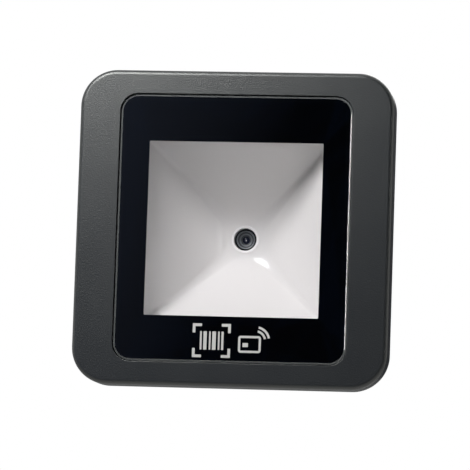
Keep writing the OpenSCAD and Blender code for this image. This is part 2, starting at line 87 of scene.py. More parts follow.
# Distance of the bowl's foot before the front of the lens barrel.
FOOT_TO_BARREL = 1.2
Colour = tuple[float, float, float, float]
Pair = tuple[float, float]


class Slot(str, Enum):
    """Material slots of the record, one passed with each piece."""

    BEZEL = "bezel_plastic"
    GLASS = "cover_glass"
    BOWL = "bowl_white"
    LENS_BLACK = "lens_black"
    LENS_GLASS = "lens_glass"
    PRINT = "lamp_white"
    HOUSING = "housing_plastic"


class Side(Enum):
    """Left or right half of the face."""

    LEFT = -1
    RIGHT = 1


class Work(Enum):
    """Ways in which one form works on another."""

    CUT = "DIFFERENCE"
    JOIN = "UNION"


def linear(colour: str, gain: float = 1.0) -> Colour:
    """Turns an sRGB hex colour into linear light.

    Args:
        colour: Colour as "#rrggbb".
        gain: Factor on the linear values.

    Returns:
        Red, green, blue and an alpha of 1.
    """
    channels = [int(colour[i : i + 2], 16) / 255 for i in (1, 3, 5)]
    light = [c / 12.92 if c <= 0.04045 else ((c + 0.055) / 1.055) ** 2.4 for c in channels]
    return tuple(min(1.0, gain * value) for value in light) + (1.0,)


def add_node(
    tree: bpy.types.NodeTree,
    kind: str,
    settings: Mapping[str | int, object] | None = None,
    links: Mapping[str | int, bpy.types.NodeSocket] | None = None,
) -> bpy.types.Node:
    """Adds one node with its settings and links.

    Args:
        tree: Node tree that takes the node.
        kind: Type name of the node.
        settings: Values by the name of a property, or by the name or number of an input.
        links: Sockets to join, by the name or number of the input that each feeds.

    Returns:
        The new node.
    """
    node = tree.nodes.new(kind)
    for key, value in (settings or {}).items():
        if isinstance(key, str) and key in node.bl_rna.properties:
            setattr(node, key, value)
        else:
            node.inputs[key].default_value = value
    for key, socket in (links or {}).items():
        tree.links.new(socket, node.inputs[key])
    return node


def new_material(name: str) -> tuple[bpy.types.Material, bpy.types.NodeTree]:
    """Makes an empty node material.

    Args:
        name: Name of the material.

    Returns:
        The material and its node tree.
    """
    material = bpy.data.materials.new(name)
    material.use_nodes = True
    material.node_tree.nodes.clear()
    return material, material.node_tree


def per_metre(size_mm: float) -> float:
    """Gives the scale of a texture whose features are size_mm across."""
    return 1.0 / (size_mm * MM)


def shown_rays(tree: bpy.types.NodeTree) -> bpy.types.NodeSocket:
    """Gives a value that is 1 for the rays that show a background.

    Args:
        tree: Node tree of the background.

    Returns:
        The socket: 1 for camera, glossy and transmission rays, and 0 for the others.
    """
    path = add_node(tree, "ShaderNodeLightPath").outputs
    shown = path["Is Camera Ray"]
    for kind in ("Is Glossy Ray", "Is Transmission Ray"):
        either = add_node(tree, "ShaderNodeMath", {"operation": "MAXIMUM"}, {0: shown, 1: path[kind]})
        shown = either.outputs[0]
    direct = add_node(
        tree, "ShaderNodeMath", {"operation": "LESS_THAN", 1: 0.5}, {0: path["Diffuse Depth"]}
    ).outputs[0]
    return add_node(tree, "ShaderNodeMath", {"operation": "MULTIPLY"}, {0: shown, 1: direct}).outputs[0]


@dataclass(frozen=True)
class Moulded:
    """Moulded plastic or rubber: one colour, broken by the tool's fine grain and a slow change of gloss."""

    name: str
    colour: str
    roughness: float
    grain_mm: float
    relief_mm: float
    mottle: float = 0.1
    gloss_swing: float = 0.05
    drift_mm: float = 18.0
    specular: float = 0.5
    sheen: str = "#ffffff"
    ior: float = 1.5

    def material(self) -> bpy.types.Material:
        """Builds the material.

        Returns:
            A material whose grain drives colour and bump, and whose drift drives roughness.
        """
        material, tree = new_material(self.name)
        where = add_node(tree, "ShaderNodeTexCoord").outputs["Object"]
        grain = add_node(
            tree,
            "ShaderNodeTexNoise",
            {"Scale": per_metre(self.grain_mm), "Detail": 3.0, "Roughness": 0.55},
            {"Vector": where},
        ).outputs[0]
        drift = add_node(
            tree, "ShaderNodeTexNoise", {"Scale": per_metre(self.drift_mm), "Detail": 2.0}, {"Vector": where}
        ).outputs[0]
        tone = add_node(
            tree,
            "ShaderNodeMix",
            {
                "data_type": "RGBA",
                6: linear(self.colour, 1 - self.mottle),
                7: linear(self.colour, 1 + self.mottle),
            },
            {0: grain},
        ).outputs[2]
        gloss = add_node(
            tree,
            "ShaderNodeMapRange",
            {3: self.roughness - self.gloss_swing, 4: self.roughness + self.gloss_swing},
            {0: drift},
        ).outputs[0]
        relief = add_node(
            tree, "ShaderNodeBump", {"Strength": 1.0, "Distance": self.relief_mm * MM}, {"Height": grain}
        ).outputs[0]
        shader = add_node(
            tree,
            "ShaderNodeBsdfPrincipled",
            {"IOR": self.ior, "Specular IOR Level": self.specular, "Specular Tint": linear(self.sheen)},
            {"Base Color": tone, "Roughness": gloss, "Normal": relief},
        )
        add_node(tree, "ShaderNodeOutputMaterial", None, {"Surface": shader.outputs[0]})
        return material


@dataclass(frozen=True)
class Glass:
    """Float glass: clear and polished, with a faint haze where it was wiped."""

    name: str
    tint: str
    roughness: float
    haze: float
    smear_mm: float = 9.0
    ior: float = 1.52
    passed: float = 0.96
    frost: float = 0.0

    def material(self) -> bpy.types.Material:
        """Builds the material.

        Returns:
            A clear material whose roughness follows the smears, and which lets the lamps through.
        """
        material, tree = new_material(self.name)
        where = add_node(tree, "ShaderNodeTexCoord").outputs["Object"]
        smear = add_node(
            tree, "ShaderNodeTexNoise", {"Scale": per_metre(self.smear_mm), "Detail": 4.0}, {"Vector": where}
        ).outputs[0]
        haze = add_node(
            tree, "ShaderNodeMapRange", {3: self.roughness, 4: self.roughness + self.haze}, {0: smear}
        ).outputs[0]
        shader = add_node(
            tree,
            "ShaderNodeBsdfPrincipled",
            {"Base Color": linear(self.tint), "IOR": self.ior, "Transmission Weight": 1.0 - self.frost},
            {"Roughness": haze},
        )
        surface = shader.outputs[0]
        clear = add_node(
            tree, "ShaderNodeBsdfTransparent", {"Color": linear("#ffffff", self.passed)}
        ).outputs[0]
        path = add_node(tree, "ShaderNodeLightPath").outputs
        for kind in ("Is Reflection Ray", "Is Shadow Ray"):
            mixed = add_node(tree, "ShaderNodeMixShader", None, {0: path[kind], 1: surface, 2: clear})
            surface = mixed.outputs[0]
        add_node(tree, "ShaderNodeOutputMaterial", None, {"Surface": surface})
        return material


@dataclass(frozen=True)
class Plated:
    """Plated, drawn or turned metal: bright, with fine tool lines along one axis."""

    name: str
    colour: str
    roughness: float
    line_mm: float = 0.12
    stretch: float = 12.0
    tone_swing: Pair = (0.88, 1.08)
    gloss_swing: Pair = (-0.06, 0.1)

    def material(self) -> bpy.types.Material:
        """Builds the material.

        Returns:
            A metal whose roughness and bump follow the tool lines.
        """
        material, tree = new_material(self.name)
        where = add_node(tree, "ShaderNodeTexCoord").outputs["Object"]
        lines = add_node(
            tree, "ShaderNodeMapping", {"Scale": (1.0, 1.0 / self.stretch, 1.0)}, {"Vector": where}
        ).outputs[0]
        brush = add_node(
            tree, "ShaderNodeTexNoise", {"Scale": per_metre(self.line_mm), "Detail": 2.0}, {"Vector": lines}
        ).outputs[0]
        dull, bright = (linear(self.colour, gain) for gain in self.tone_swing)
        smooth, rough = (self.roughness + swing for swing in self.gloss_swing)
        tone = add_node(
            tree,
            "ShaderNodeMix",
            {"data_type": "RGBA", 6: dull, 7: bright},
            {0: brush},
        ).outputs[2]
        gloss = add_node(tree, "ShaderNodeMapRange", {3: smooth, 4: rough}, {0: brush}).outputs[0]
        shader = add_node(
            tree, "ShaderNodeBsdfPrincipled", {"Metallic": 1.0}, {"Base Color": tone, "Roughness": gloss}
        )
        add_node(tree, "ShaderNodeOutputMaterial", None, {"Surface": shader.outputs[0]})
        return material


@dataclass(frozen=True)
class SolderMask:
    """Circuit board: green lacquer, lighter where it covers the copper tracks."""

    name: str
    colour: str
    track_colour: str
    track_mm: float = 1.3
    pitch: float = 8.0
    gap: float = 0.035
    patch: float = 0.9
    relief_mm: float = 0.03
    relief_strength: float = 0.6
    roughness: float = 0.32

    def material(self) -> bpy.types.Material:
        """Builds the material.

        Returns:
            A lacquer whose tracks stand a little proud.
        """
        material, tree = new_material(self.name)
        where = add_node(tree, "ShaderNodeTexCoord").outputs["Object"]
        turned = add_node(
            tree, "ShaderNodeMapping", {"Rotation": (math.radians(90), 0.0, 0.0)}, {"Vector": where}
        ).outputs[0]
        tracks = add_node(
            tree,
            "ShaderNodeTexBrick",
            {
                "Scale": per_metre(self.pitch * self.track_mm),
                "Mortar Size": self.gap,
                "Color1": linear(self.colour),
                "Color2": linear(self.colour, self.patch),
                "Mortar": linear(self.track_colour),
            },
            {"Vector": turned},
        )
        relief = add_node(
            tree,
            "ShaderNodeBump",
            {"Strength": self.relief_strength, "Distance": self.relief_mm * MM},
            {"Height": tracks.outputs[1]},
        ).outputs[0]
        shader = add_node(
            tree,
            "ShaderNodeBsdfPrincipled",
            {"Roughness": self.roughness},
            {"Base Color": tracks.outputs[0], "Normal": relief},
        )
        add_node(tree, "ShaderNodeOutputMaterial", None, {"Surface": shader.outputs[0]})
        return material


@dataclass(frozen=True)
class SweepPaper:
    """Pale paper of a studio sweep: matt and a little cloudy."""

    name: str
    colour: str
    lift: float
    cloud_mm: float = 40.0
    cloud: float = 0.98

    def material(self) -> bpy.types.Material:
        """Builds the material.

        Returns:
            A matt material that is shown paler by the lift, but throws no more light on the object.
        """
        material, tree = new_material(self.name)
        where = add_node(tree, "ShaderNodeTexCoord").outputs["Object"]
        cloud = add_node(
            tree, "ShaderNodeTexNoise", {"Scale": per_metre(self.cloud_mm)}, {"Vector": where}
        ).outputs[0]
        tone = add_node(
            tree,
            "ShaderNodeMix",
            {"data_type": "RGBA", 6: linear(self.colour, self.cloud), 7: linear(self.colour)},
            {0: cloud},
        ).outputs[2]
        matt = add_node(tree, "ShaderNodeBsdfDiffuse", None, {"Color": tone}).outputs[0]
        share = add_node(
            tree, "ShaderNodeMath", {"operation": "MULTIPLY", 1: self.lift}, {0: shown_rays(tree)}
        ).outputs[0]
        glow = add_node(tree, "ShaderNodeEmission", None, {"Color": tone, "Strength": share}).outputs[0]
        paper = add_node(tree, "ShaderNodeAddShader", None, {0: matt, 1: glow}).outputs[0]
        add_node(tree, "ShaderNodeOutputMaterial", None, {"Surface": paper})
        return material


@dataclass(frozen=True)
class DimCloth:
    """Dim cloth out of sight, which the glass reflects: pale towards one side and nearly black beyond."""

    name: str
    colour: str
    light: Pair
    fade: Pair
    slant: float

    def material(self) -> bpy.types.Material:
        """Builds the material.

        Returns:
            A weak glow that falls along X, with the line of its fall slanted by the height.
        """
        material, tree = new_material(self.name)
        where = add_node(tree, "ShaderNodeTexCoord").outputs["Object"]
        spot = add_node(tree, "ShaderNodeSeparateXYZ", None, {0: where}).outputs
        across = add_node(
            tree, "ShaderNodeMath", {"operation": "MULTIPLY_ADD", 1: self.slant}, {0: spot[2], 2: spot[0]}
        ).outputs[0]
        near, far = self.fade
        bright, dark = self.light
        light = add_node(
            tree, "ShaderNodeMapRange", {1: near, 2: far, 3: bright, 4: dark}, {0: across}
        ).outputs[0]
        glow = add_node(
            tree, "ShaderNodeEmission", {"Color": linear(self.colour)}, {"Strength": light}
        ).outputs[0]
        add_node(tree, "ShaderNodeOutputMaterial", None, {"Surface": glow})
        return material


@dataclass(frozen=True)
class Ring:
    """One rounded rectangle of a shell, square to the depth axis.

    Attributes:
        half_x: Half of its width.
        half_z: Half of its height.
        corner: Corner radius.
        depth: Place along Y.
    """

    half_x: float
    half_z: float
    corner: float
    depth: float

    def inset(self, amount: float, depth: float) -> Ring:
        """Gives the ring that lies amount further in on every side, at another depth."""
        corner = max(self.corner - amount, LEAST_CORNER)
        return Ring(self.half_x - amount, self.half_z - amount, corner, depth)


class Shell:
    """Mesh that grows by drawing rounded rectangles out of one another."""

    def __init__(self, corner_points: int = 14) -> None:
        """Starts an empty mesh.

        Args:
            corner_points: Steps in each corner of a ring.
        """
        self.bm = bmesh.new()
        self.corner_points = corner_points
        self.quarter = self.bm.verts.layers.int.new("quarter")
        self.turn = self.bm.verts.layers.float.new("turn")

    def shape(self, verts: Iterable[bmesh.types.BMVert], ring: Ring, centre: Pair) -> None:
        """Moves the points of one loop onto a ring.

        Args:
            verts: Points of the loop, which know their quarter and their turn.
            ring: Sizes of the ring.
            centre: Middle of the ring, along X and Z.
        """
        for vert in verts:
            side = 1 if vert[self.quarter] in (0, 3) else -1
            level = 1 if vert[self.quarter] < 2 else -1
            across = side * (ring.half_x - ring.corner) + ring.corner * math.cos(vert[self.turn])
            up = level * (ring.half_z - ring.corner) + ring.corner * math.sin(vert[self.turn])
            vert.co = Vector((centre[0] + across, ring.depth, centre[1] + up))

    def start(self, ring: Ring, centre: Pair) -> list[bmesh.types.BMEdge]:
        """Draws the first ring of a skin.

        Args:
            ring: Sizes of the ring.
            centre: Middle of the ring, along X and Z.

        Returns:
            The ring's edges.
        """
        per_quarter = self.corner_points + 1
        verts = bmesh.ops.create_circle(self.bm, segments=4 * per_quarter, radius=1.0)["verts"]
        for count, vert in enumerate(verts):
            quarter, step = divmod(count, per_quarter)
            vert[self.quarter] = quarter
            vert[self.turn] = math.pi / 2 * (quarter + step / self.corner_points)
        self.shape(verts, ring, centre)
        return list(dict.fromkeys(edge for vert in verts for edge in vert.link_edges))

    def skin(
        self, rings: Sequence[Ring], closed: bool = False, centre: Pair = (0.0, 0.0)
    ) -> list[list[bmesh.types.BMEdge]]:
        """Draws a row of rings out of one another.

        Args:
            rings: The rings, in order.
            closed: Whether the last ring joins the first.
            centre: Middle of the rings, along X and Z.

        Returns:
            The edges of each ring.
        """
        loops = [self.start(rings[0], centre)]
        for ring in [*rings[1:], *(rings[:1] if closed else [])]:
            grown = bmesh.ops.extrude_edge_only(self.bm, edges=loops[-1])["geom"]
            self.shape([item for item in grown if isinstance(item, bmesh.types.BMVert)], ring, centre)
            edges = [item for item in grown if isinstance(item, bmesh.types.BMEdge)]
            loops.append([edge for edge in edges if edge.is_boundary])
        return loops

    def cap(self, edges: Iterable[bmesh.types.BMEdge], material: int = 0) -> None:
        """Closes a ring with one face.

        Args:
            edges: The ring's edges.
            material: Number of the face's material.
        """
        made = bmesh.ops.edgeloop_fill(self.bm, edges=list(edges))
        for face in made["faces"]:
            face.material_index = material

    def plate(self, ring: Ring, thickness: float, centre: Pair = (0.0, 0.0)) -> None:
        """Adds a plate with rounded corners, whose front lies at the ring.

        Args:
            ring: Outline and front of the plate.
            thickness: Thickness towards +Y.
            centre: Middle of the plate, along X and Z.
        """
        loops = self.skin([ring, ring.inset(0.0, ring.depth + thickness)], centre=centre)
        self.cap(loops[0])
        self.cap(loops[1])

    def tube(self, radii: Sequence[tuple[float, float]], centre: Pair = (0.0, 0.0)) -> None:
        """Adds a closed turned form about a line along Y.

        Args:
            radii: Radius and depth of each step, from one end round to the other.
            centre: Place of the line, along X and Z.
        """
        loops = self.skin([Ring(r, r, r, depth) for r, depth in radii], centre=centre)
        self.cap(loops[0])
        self.cap(loops[-1])


def make_piece(
    name: str, bm: bmesh.types.BMesh, materials: Sequence[bpy.types.Material], crease_deg: float = CREASE_DEG
) -> bpy.types.Object:
    """Turns a mesh in millimetres into an object in metres.

    Args:
        name: Name of the piece.
        bm: The mesh, which is freed.
        materials: Materials, by number.
        crease_deg: Edges that turn more than this stay sharp.

    Returns:
        The object, at the origin.
    """
    for layers in (bm.verts.layers.int, bm.verts.layers.float):
        for layer in layers.values():
            layers.remove(layer)
    bmesh.ops.remove_doubles(bm, verts=bm.verts, dist=WELD)
    bmesh.ops.recalc_face_normals(bm, faces=bm.faces)
    bmesh.ops.scale(bm, vec=(MM, MM, MM), verts=bm.verts)
    mesh = bpy.data.meshes.new(name)
    bm.to_mesh(mesh)
    bm.free()
    for material in materials:
        mesh.materials.append(material)
    finish_shading(mesh, crease_deg)
    piece = bpy.data.objects.new(name, mesh)
    bpy.context.scene.collection.objects.link(piece)
    return piece


def finish_shading(mesh: bpy.types.Mesh, crease_deg: float) -> None:
    """Shades a mesh smooth, apart from its creases."""
    mesh.shade_smooth()
    mesh.set_sharp_from_angle(angle=math.radians(crease_deg))


def flatten_faces(piece: bpy.types.Object) -> None:
    """Keeps broad faces flat beside their rounded edges.

    Args:
        piece: The piece.
    """
    modifier = piece.modifiers.new("flat_faces", "WEIGHTED_NORMAL")
    modifier.keep_sharp = True
    modifier.weight = 100


def work(
    piece: bpy.types.Object, tools: Sequence[bpy.types.Object], how: Work, crease_deg: float = CREASE_DEG
) -> None:
    """Cuts other forms out of a piece or joins them to it, and removes those forms.

    Args:
        piece: The piece that is worked on.
        tools: The forms that cut it or join it.
        how: Whether they cut or join.
        crease_deg: Edges that turn more than this stay sharp.
    """
    for tool in tools:
        modifier = piece.modifiers.new(tool.name, "BOOLEAN")
        modifier.operation = how.value
        modifier.solver = "EXACT"
        modifier.object = tool
    graph = bpy.context.evaluated_depsgraph_get()
    worked = bpy.data.meshes.new_from_object(piece.evaluated_get(graph))
    piece.modifiers.clear()
    old = piece.data
    piece.data = worked
    bpy.data.meshes.remove(old)
    finish_shading(worked, crease_deg)
    for tool in tools:
        spare = tool.data
        bpy.data.objects.remove(tool)
        bpy.data.meshes.remove(spare)


def turned_form(
    name: str, radii: Sequence[Pair], centre: Pair, corner_points: int = 10
) -> bpy.types.Object:
    """Makes a turned form for joining or cutting.

    Args:
        name: Name of the form.
        radii: Radius and depth of each step.
        centre: Place of its axis, along X and Z.
        corner_points: Steps in each quarter turn.

    Returns:
        The form.
    """
    shell = Shell(corner_points)
    shell.tube(radii, centre)
    return make_piece(name, shell.bm, [])


def corners(across: float, up: float) -> list[Pair]:
    """Gives the four corners of a rectangle about the middle of the face."""
    return [(side * across, level * up) for side in (-1, 1) for level in (-1, 1)]


def corner_forms(name: str, radii: Sequence[Pair], corner: Pair) -> list[bpy.types.Object]:
    """Makes the same turned form at the four corners of a rectangle."""
    return [turned_form(name, radii, axis) for axis in corners(*corner)]


def place(piece: bpy.types.Object, slot: Slot, *nodes: str) -> bpy.types.Object:
    """Makes a piece ride on the reader and stand for its nodes.

    Args:
        piece: The piece.
        slot: Slot of the record for the piece; it is not used.
        nodes: Nodes that it stands for.

    Returns:
        The piece.
    """
    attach(piece, BODY)
    if nodes:
        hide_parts(*nodes)
    LOG.info("%s: %d faces, for %s", piece.name, len(piece.data.polygons), ", ".join(nodes) or "itself")
    return piece


def round_edge(ring: Ring, radius: float, towards: float, steps: int = 6) -> list[Ring]:
    """Rolls a ring's wall over into a face that lies further along Y.

    Args:
        ring: Ring at the foot of the roll.
        radius: Radius of the roll.
        towards: Sign of the way along Y.
        steps: Rings in the roll.

    Returns:
        The rings after the first.
    """
    rings = []
    for step in range(1, steps + 1):
        turn = math.pi / 2 * step / steps
        depth = ring.depth + towards * radius * math.sin(turn)
        rings.append(ring.inset(radius * (1 - math.cos(turn)), depth))
    return rings


FINISHES = {
    # Moulded ABS from a spark-eroded tool: dull and dark. Its 0.1 mm grain is drawn coarser, to show.
    "bezel": Moulded(
        "moulded_abs",
        "#05080a",
        roughness=0.40,
        grain_mm=0.42,
        relief_mm=0.055,
        mottle=0.3,
        gloss_swing=0.03,
        specular=0.9,
        sheen="#fdfffb",
    ),
    # The same resin in a plainer tool, behind the panel.
    "housing": Moulded("moulded_abs_rear", "#2c2d30", 0.6, 0.5, 0.014, mottle=0.12),
    # Float glass with polished faces: clear, with a hard reflection.
    "glass": Glass("float_glass", "#fdfcff", 0.0, 0.02),
    # Ground edge of the glass: it scatters what it reflects, and looks faintly white.
    "glass_edge": Glass("ground_glass_edge", "#e8eeee", 0.05, 0.05, frost=0.1),
    # Black screen print, seen through the glass, so it has no gloss of its own.
    "print_black": Moulded("black_screen_print", "#030813", 0.7, 0.3, 0.001, specular=0.0),
    # White screen print: flat and a little grey behind the glass.
    "print_white": Moulded("white_screen_print", "#d6d6d3", 0.7, 0.3, 0.001, mottle=0.03, specular=0.0),
    # Glossy white polystyrene: a hard shine over a slight orange peel.
    "bowl": Moulded("white_polystyrene", "#eae8e6", 0.13, 1.6, 0.004, mottle=0.015, gloss_swing=0.03),
    # Satin black of a moulded lens barrel, painted mid grey as its lit copy: painted light where light
    # grazes its steps.
    "lens_black": Moulded("barrel_black_painted_lit", "#6a6f73", 0.36, 0.2, 0.004),
    # The same barrel black painted darker on every other baffle step, as its shaded copy: painted shade.
    "lens_shade": Moulded("barrel_black_painted_shade", "#34383b", 0.6, 0.2, 0.004),
    # Flat land round the lens hole: the same white, painted paler as a painted highlight ring round the
    # lens.
    "land_painted_light": Moulded("land_painted_highlight", "#fcfbfa", 0.2, 1.6, 0.004, mottle=0.01),
    # Near-black painted shade in the sunk shoulder round the barrel, added to the shade that the recess
    # casts.
    "shoulder_shade": Moulded("shoulder_painted_shade", "#060607", 0.8, 0.1, 0.004, specular=0.1),
    # Coated lens: dark, with a hard blue-violet shine.
    "lens_glass": Moulded(
        "coated_lens", "#10131f", 0.12, 2.0, 0.0, mottle=0.3, gloss_swing=0.02, specular=0.2
    ),
    # Nitrile rubber: black, with hardly any shine.
    "rubber": Moulded("nitrile_rubber", "#161616", 0.75, 0.3, 0.01),
    # Adhesive foam: black and dull, with open cells.
    "tape": Moulded("black_foam_tape", "#1a1a1c", 0.85, 0.25, 0.02),
    # Natural nylon of a small connector: cream, with a low shine.
    "nylon": Moulded("natural_nylon", "#e4dfd0", 0.42, 0.6, 0.006, mottle=0.04),
    # Polyimide film: amber, with a soft shine.
    "film": Moulded("polyimide_film", "#b9741c", 0.28, 0.8, 0.003),
    # Moulded epoxy of a chip: dark grey and evenly dull.
    "epoxy": Moulded("chip_epoxy", "#202124", 0.55, 0.18, 0.006),
    # Pressed ferrite: mid grey, with the grit of the powder.
    "ferrite": Moulded("pressed_ferrite", "#45464a", 0.6, 0.25, 0.012),
    # Lamp lens: milky, glossy resin.
    "lamp": Moulded("milky_resin", "#f2efe2", 0.25, 0.8, 0.002, mottle=0.03),
    # Glass-filled black nylon of the data socket: half glossy, with a fine grain.
    "socket": Moulded("filled_nylon", "#1d1e20", 0.38, 0.3, 0.008),
    # Lacquered circuit board: glossy green, paler over the copper.
    "board": SolderMask("green_solder_mask", "#1a5036", "#2f7a52"),
    # Zinc-plated steel screws: cool and bright, with turned lines.
    "steel": Plated("zinc_plated_steel", "#b3b7bb", 0.3),
    # Drawn tin cans: pale grey, a little brighter than the screws.
    "tin": Plated("drawn_tin", "#b6babf", 0.24),
    # Gold plate on spring contacts: warm yellow and shiny.
    "gold": Plated("gold_plate", "#d8ad45", 0.2),
    # Turned brass inserts: yellow, with tool lines.
    "brass": Plated("turned_brass", "#c39a44", 0.28),
}

NODE_FINISHES = {
    "window_mask": "print_black",
    "glass_tape": "tape",
    "antenna_board": "board",
    "antenna_lead": "film",
    "antenna_socket": "nylon",
    "lens_holder": "lens_black",
    "image_sensor": "lens_glass",
    "lamp_leds": "lamp",
    "main_board": "board",
    "decoder_chip": "epoxy",
    "memory_chip": "epoxy",
    "radio_chip": "epoxy",
    "crystal": "tin",
    "power_coil": "ferrite",
    "capacitors": "tin",
    "buzzer": "epoxy",
    "data_socket": "socket",
    "socket_contacts": "gold",
    "board_screws": "steel",
    "housing_seal": "rubber",
    "housing_screws": "steel",
    "panel_inserts": "brass",
}


class Finishes:
    """Materials of the reader, each made once."""

    def __init__(self) -> None:
        """Starts with no material made."""
        self.made: dict[str, bpy.types.Material] = {}

    def __getitem__(self, key: str) -> bpy.types.Material:
        """Gives a finish's material, made on its first use.

        Args:
            key: Key of the finish.

        Returns:
            The material.
        """
        if key not in self.made:
            self.made[key] = FINISHES[key].material()
        return self.made[key]


@dataclass
class FaceFrame:
    """Square moulded frame that stands on the panel and holds the glass."""

    half: Pair
    front: float
    corner: float = 10.0
    edge: float = 1.2
    opening: Pair = (31.95, 36.6)
    opening_corner: float = 5.0
    slope: Pair = (0.12, 0.012)
    crease: float = 0.02
    crease_turn: tuple[Pair, ...] = ((-1.0, 0.0), (-0.4, 0.05), (0.4, 0.5), (1.0, 1.0))
    lip: float = 0.05
    lip_turn: Pair = (0.3, 0.2)
    foot_edge: float = 0.15
    ledge: Ring = Ring(29.45, 34.1, 10.5, -5.1)
    ledge_back: float = -3.6
    recess: Ring = Ring(34.2, 38.7, 7.2, -3.6)
    screw: Pair = (28.5, 33.0)
    boss: tuple[float, float, float] = (2.95, 1.35, 3.4)
    boss_root: float = 0.5
    boss_edge: float = 0.2
    pilot_skin: float = 0.4
    pocket: Pair = (35.8, 41.0)
    pocket_corner: float = 0.6
    pocket_half: float = 33.0
    pocket_floor: float = -5.6
    rib: float = 1.4
    rib_pitch: float = 15.0
    insert: Pair = (38.4, 30.0)
    insert_hole: Pair = (2.05, 4.8)
    insert_boss: float = 3.2

    def rings(self) -> list[Ring]:
        """Gives the rings of the frame's skin, from its rear edge over the face to the rim recess.

        Returns:
            The rings, in order.
        """
        foot = Ring(self.half[0], self.half[1], self.corner, 0.0)
        wall = foot.inset(0.0, self.front + self.edge)
        roll = round_edge(wall, self.edge, -1.0)
        face = roll[-1]
        width, drop = self.slope
        opening = Ring(self.opening[0], self.opening[1], self.opening_corner, self.front + drop)
        fall = drop / width
        start = opening.inset(-width, self.front)
        into, down = self.lip_turn
        return [
            foot.inset(self.foot_edge, 0.0),
            foot.inset(0.0, -self.foot_edge),
            wall,
            *roll,
            face.inset(self.foot_edge, self.front),
            *[
                start.inset(share * self.crease, self.front + sunk * fall * self.crease)
                for share, sunk in self.crease_turn
            ],
            opening.inset(-self.lip, opening.depth - fall * self.lip),
            opening.inset(-into * self.lip, opening.depth + down * self.lip),
            opening.inset(0.0, opening.depth + self.lip),
            opening.inset(0.0, self.ledge.depth),
            self.ledge,
            self.ledge.inset(0.0, self.ledge_back),
            self.recess,
            self.recess.inset(0.0, 0.0),
        ]

    def pocket_form(self, side: Side) -> bpy.types.Object:
        """Makes the form that opens the rear of one side, between its ribs and insert bosses.

        Args:
            side: Side of the face.

        Returns:
            The cutting form.
        """
        middle = side.value * sum(self.pocket) / 2
        shell = Shell(4)
        width = self.pocket[1] - self.pocket[0]
        block = Ring(width / 2, self.pocket_half, self.pocket_corner, self.pocket_floor)
        shell.plate(block, PAST - self.pocket_floor, (middle, 0.0))
        form = make_piece("pocket", shell.bm, [])
        kept = []
        for row in (-1, 0, 1):
            rib = Shell(3)
            outline = Ring(self.pocket[1], self.rib / 2, LEAST_CORNER, self.pocket_floor - PAST)
            rib.plate(outline, 3 * PAST - self.pocket_floor, (0.0, row * self.rib_pitch))
            kept.append(make_piece("rib", rib.bm, []))
        for level in (-1, 1):
            axis = (side.value * self.insert[0], level * self.insert[1])
            steps = [(self.insert_boss, self.pocket_floor - PAST), (self.insert_boss, 2 * PAST)]
            kept.append(turned_form("insert_boss", steps, axis))
        work(form, kept, Work.CUT)
        return form

    def build(self, finishes: Finishes) -> bpy.types.Object:
        """Builds and dresses the frame.

        Args:
            finishes: Materials of the reader.

        Returns:
            The frame.
        """
        shell = Shell(20)
        shell.skin(self.rings(), closed=True)
        frame = make_piece("bezel_frame", shell.bm, [finishes["bezel"]])
        outer, bore, end = self.boss
        edge = self.boss_edge
        steps = [(outer, self.ledge_back - self.boss_root), (outer, end - edge), (outer - edge, end)]
        work(frame, corner_forms("boss", steps, self.screw), Work.JOIN)
        cuts = [self.pocket_form(side) for side in Side]
        radius, depth = self.insert_hole
        steps = [(radius, -depth), (radius, PAST)]
        cuts += corner_forms("insert_hole", steps, self.insert)
        steps = [(bore, self.ledge_back + self.pilot_skin), (bore, end + PAST)]
        cuts += corner_forms("pilot", steps, self.screw)
        work(frame, cuts, Work.CUT)
        flatten_faces(frame)
        return place(frame, Slot.BEZEL, "front_bezel")


@dataclass
class CoverGlass:
    """Glass with a bevelled edge and a black print on its back that leaves the window clear."""

    half: Pair
    front: float
    back: float
    window: Pair = (23.8, 23.8)
    window_corner: float = 0.3
    corner: float = 4.75
    bevel: Pair = (0.5, 0.25)
    soften: float = 0.06
    crease_deg: float = 15.0

    def build(self, finishes: Finishes) -> bpy.types.Object:
        """Builds and dresses the glass.

        Args:
            finishes: Materials of the reader.

        Returns:
            The glass.
        """
        shell = Shell(14)
        foot = Ring(self.half[0], self.half[1], self.corner, self.back)
        width, drop = self.bevel
        soft = self.soften
        rings = [
            Ring(self.window[0], self.window[1], self.window_corner, self.back),
            foot.inset(soft, self.back),
            foot.inset(0.0, self.back - soft),
            foot.inset(0.0, self.front + drop),
            foot.inset(width, self.front),
        ]
        loops = shell.skin(rings)
        for face in shell.bm.faces:
            face.material_index = 1 if face.calc_center_median().y > self.back - 0.5 * soft else 2
        shell.cap(loops[0])
        shell.cap(loops[-1])
        looks = [finishes[key] for key in ("glass", "print_black", "glass_edge")]
        glass = make_piece("glass_pane", shell.bm, looks, crease_deg=self.crease_deg)
        flatten_faces(glass)
        return place(glass, Slot.GLASS, "cover_glass")


